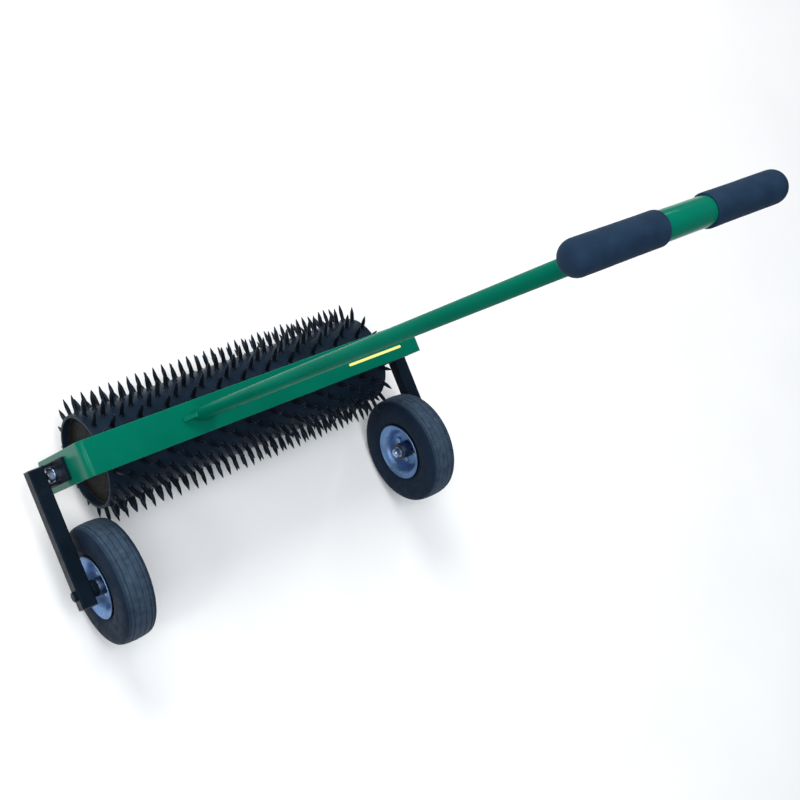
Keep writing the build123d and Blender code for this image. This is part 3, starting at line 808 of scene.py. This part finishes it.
# One rim half's section as (outward from the wheel's middle, radius), round both of its faces.
rim_line = [(4.2, 19.2), (3.2, 21.0), (2.3, 25), (2.2, 33), (3.2, 38.5), (6.5, 43.0), (12, 46.2), (19, 48.4),
            (25.0, 51.0), (29.0, 54.6), (31.4, 58.6), (33.2, 62.0), (35.2, 64.4), (35.9, 65.6), (35.4, 66.5),
            (33.6, 66.2), (31.0, 63.2), (28.9, 58.5), (26.6, 55.2), (23.0, 52.4), (16, 50.0), (9, 47.9),
            (3.6, 44.6), (0.9, 40.5), (0.1, 34), (0.0, 25), (0.0, 19.2)]
rim_sheet = 2.2
rim_bolt_count = 4
rim_bolt_circle = 34.0
rim_bolt_radius = 4.0
rim_bolt_pitch = 1.25
rim_bolt_flats = 13.0
rim_bolt_head = 5.3
rim_bolt_end = 11.7
rim_nut_height = 6.5
wheel_hub_end = 32.0
wheel_hub_bore = 15.0
wheel_bolt_radius = 6.0
wheel_bolt_pitch = 1.75
wheel_bolt_flats = 19.0
wheel_bolt_head = 6.0
wheel_bolt_tail = 14.0
head_collar_radius = 9.2
head_collar_height = 0.6
wheel_nut_height = 10.0
wheel_washer_radius = 12.0
spacer_start = 434.8
spacer_radius = 18.0
wheel_x = 401.5
bush_face = 33.3  # from the wheel's middle, with the play between bush and washer
arm_outer = arm_face + arm_side
nut_face = wheel_x - bush_face - washer_thickness
wheel_line = yoke(0, -arm_reach, 0)
for side_name, sign in sides:
    body = f"wheel_{side_name}"
    centre = joints[f"wheel_{side_name}_spin"]

    tyre = bmesh.new()
    lathe(tyre, tyre_outline(), centre, segments=200)
    rubber = tyre_rubber(f"tyre rubber {side_name}", centre)
    piece(f"ribbed_tyre_{side_name}", tyre, rubber, body, [f"tyre_{side_name}"], sharp=40)
    keep(f"inner_tube_{side_name}", tube_rubber)
    keep(f"valve_stem_{side_name}", tube_rubber, 0.6)

    for half, facing in (("outer", sign), ("inner", -sign)):
        rim = bmesh.new()
        outline = [(facing * across, radius) for across, radius in flowing(rim_line, 4)]
        lathe(rim, outline, centre, segments=144)
        node = f"rim_{half}_{side_name}"
        piece(f"pressed_{node}", rim, rim_zinc, body, [node], sharp=60)

    hub = bmesh.new()
    ring(hub, -wheel_hub_end, wheel_hub_end, wheel_hub_bore, wheel_hub_radius, centre, 1.2, 64)
    # The hub's darker zinc is painted shade of the rim's recess.
    piece(f"hub_sleeve_{side_name}", hub, shaded_hub_zinc, body, [f"wheel_hub_{side_name}"])
    keep(f"wheel_bushes_{side_name}", plastic, 0.3)

    heads = bmesh.new()
    rim_nuts = bmesh.new()
    shank = thread(-sign * rim_sheet, sign * rim_bolt_end, rim_bolt_radius, rim_bolt_pitch)
    shank += [(sign * rim_bolt_end, 0.01), (-sign * rim_sheet, 0.01)]
    for turn in range(rim_bolt_count):
        spoke = Matrix.Rotation(radians(45 + 360 / rim_bolt_count * turn), 3, along_x) @ up_handle
        place = centre + mm * rim_bolt_circle * spoke
        head_seat = place - sign * rim_sheet * mm * along_x
        nut_seat = place + sign * rim_sheet * mm * along_x
        hexagon(heads, head_seat, -sign * along_x, rim_bolt_flats, rim_bolt_head)
        lathe(heads, shank, place, segments=24)
        hexagon(rim_nuts, nut_seat, sign * along_x, rim_bolt_flats, rim_nut_height, rim_bolt_radius, True)
    cad_bolts = f"rim_bolts_{side_name}"
    cad_nuts = f"rim_nuts_{side_name}"
    piece(f"rim_hex_bolts_{side_name}", heads, bright_zinc, body, [cad_bolts], sharp=25)
    piece(f"rim_hex_nuts_{side_name}", rim_nuts, bright_zinc, body, [cad_nuts], sharp=25)

    cad_bolt = f"wheel_bolt_{side_name}"
    wheel_bolt = bmesh.new()
    head_seat = yoke(sign * arm_outer, -arm_reach, 0)
    hexagon(wheel_bolt, head_seat, sign * along_x, wheel_bolt_flats, wheel_bolt_head)
    collar_end = arm_outer + head_collar_height
    ring(wheel_bolt, sign * (arm_outer - 1), sign * collar_end, 1.0, head_collar_radius, wheel_line, 0.2)
    piece(f"wheel_hex_bolt_{side_name}", wheel_bolt, black, "frame", [cad_bolt], sharp=25)

    thread_end = nut_face - wheel_bolt_tail
    shank = [(sign * arm_outer, 0.01), (sign * arm_outer, wheel_bolt_radius)]
    shank += thread(sign * nut_face, sign * thread_end, wheel_bolt_radius, wheel_bolt_pitch)
    shank += [(sign * thread_end, 0.01)]
    stud = bmesh.new()
    lathe(stud, shank, wheel_line, segments=48, closed=False)
    piece(f"wheel_bolt_shank_{side_name}", stud, bright_zinc, "frame")

spacers = bmesh.new()
wheel_washers = bmesh.new()
wheel_nuts = bmesh.new()
for side_name, sign in sides:
    washer_end = nut_face + washer_thickness
    nut_seat = yoke(sign * nut_face, -arm_reach, 0)
    spacer_bore = wheel_bolt_radius + running_play
    washer_bore = wheel_bolt_radius + washer_play
    nut_axis = -sign * along_x
    ring(spacers, sign * spacer_start, sign * arm_face, spacer_bore, spacer_radius, wheel_line, 1.0)
    ring(wheel_washers, sign * nut_face, sign * washer_end, washer_bore, wheel_washer_radius, wheel_line)
    hexagon(wheel_nuts, nut_seat, nut_axis, wheel_bolt_flats, wheel_nut_height, wheel_bolt_radius, True)
piece("wheel_tube_spacers", spacers, black, "frame", ["wheel_spacers"])
piece("wheel_flat_washers", wheel_washers, bright_zinc, "frame", ["wheel_washers"])
piece("wheel_hex_nuts", wheel_nuts, bright_zinc, "frame", ["wheel_nuts"], sharp=25)

for side_name, sign in sides:
    keep(f"drum_bush_{side_name}", bronze)

# --- stage ----------------------------------------------------------------------------------------
floor_radius = 40.0
floor_mesh = bmesh.new()
bmesh.ops.create_circle(floor_mesh, cap_ends=True, radius=floor_radius, segments=96)
floor_data = bpy.data.meshes.new("floor")
floor_mesh.to_mesh(floor_data)
floor_mesh.free()
floor = bpy.data.objects.new("floor", floor_data)
bpy.context.scene.collection.objects.link(floor)
floor_paint = Paint("pale floor", Roughness=0.85, Specular_IOR_Level=0.2)
floor_tone = floor_paint.between(floor_paint.noise(3, 4), 0.3, 0.7)
floor_paint.colour(floor_paint.blend(floor_tone, (0.88, 0.88, 0.88), (0.91, 0.91, 0.91)))
floor_data.materials.append(floor_paint.material)

world = bpy.data.worlds.new("studio")
world.use_nodes = True
world.node_tree.nodes["Background"].inputs["Color"].default_value = (0.86, 0.92, 1.0, 1)
world.node_tree.nodes["Background"].inputs["Strength"].default_value = 0.22
bpy.context.scene.world = world
bpy.context.scene.view_settings.view_transform = "Standard"


def soft_light(name, direction, distance, size, power, colour):
    """A square area light that shines at the roller from a direction."""
    data = bpy.data.lights.new(name, "AREA")
    data.size = size
    data.energy = power
    data.color = colour
    light = bpy.data.objects.new(name, data)
    bpy.context.scene.collection.objects.link(light)
    away = Vector(direction).normalized()
    turn = away.to_track_quat("Z", "Y").to_matrix().to_4x4()
    light.matrix_world = Matrix.Translation(axle + distance * away) @ turn


soft_light("key", (-0.15, 0.80, 0.60), 7.0, 3.5, 380, (1.0, 0.98, 0.96))
soft_light("overhead", (-0.35, -0.10, 1.0), 7.5, 5.8, 420, (0.94, 0.97, 1.0))
soft_light("bend gleam", (-0.20, 0.0, 1.0), 6.0, 0.6, 30, (1.0, 1.0, 1.0))
soft_light("edge gleam", (0.59, 0.60, 0.55), 6.0, 0.6, 30, (1.0, 1.0, 1.0))
soft_light("foot gleam", (-0.80, 0.0, 0.60), 6.0, 0.8, 45, (1.0, 1.0, 1.0))

# --- camera ---------------------------------------------------------------------------------------
# It stays in the same place to the yoke, so it is written along the yoke's own axes too.
camera_place = yoke(-1245.84, -78.08, 2313.93)
camera_forward = 0.58582 * along_x - 0.01706 * front - 0.81026 * up_handle
camera_up = 0.30997 * along_x + 0.92848 * front + 0.20456 * up_handle
lens = 53.46
sensor = 36.0

camera_data = bpy.data.cameras.new("camera")
camera_data.lens = lens
camera_data.sensor_width = sensor
camera = bpy.data.objects.new("camera", camera_data)
bpy.context.scene.collection.objects.link(camera)
backward = -camera_forward.normalized()
rightward = camera_up.cross(backward).normalized()
upward = backward.cross(rightward)
camera_turn = Matrix((rightward, upward, backward)).transposed().to_4x4()
camera.matrix_world = Matrix.Translation(camera_place) @ camera_turn
bpy.context.scene.camera = camera
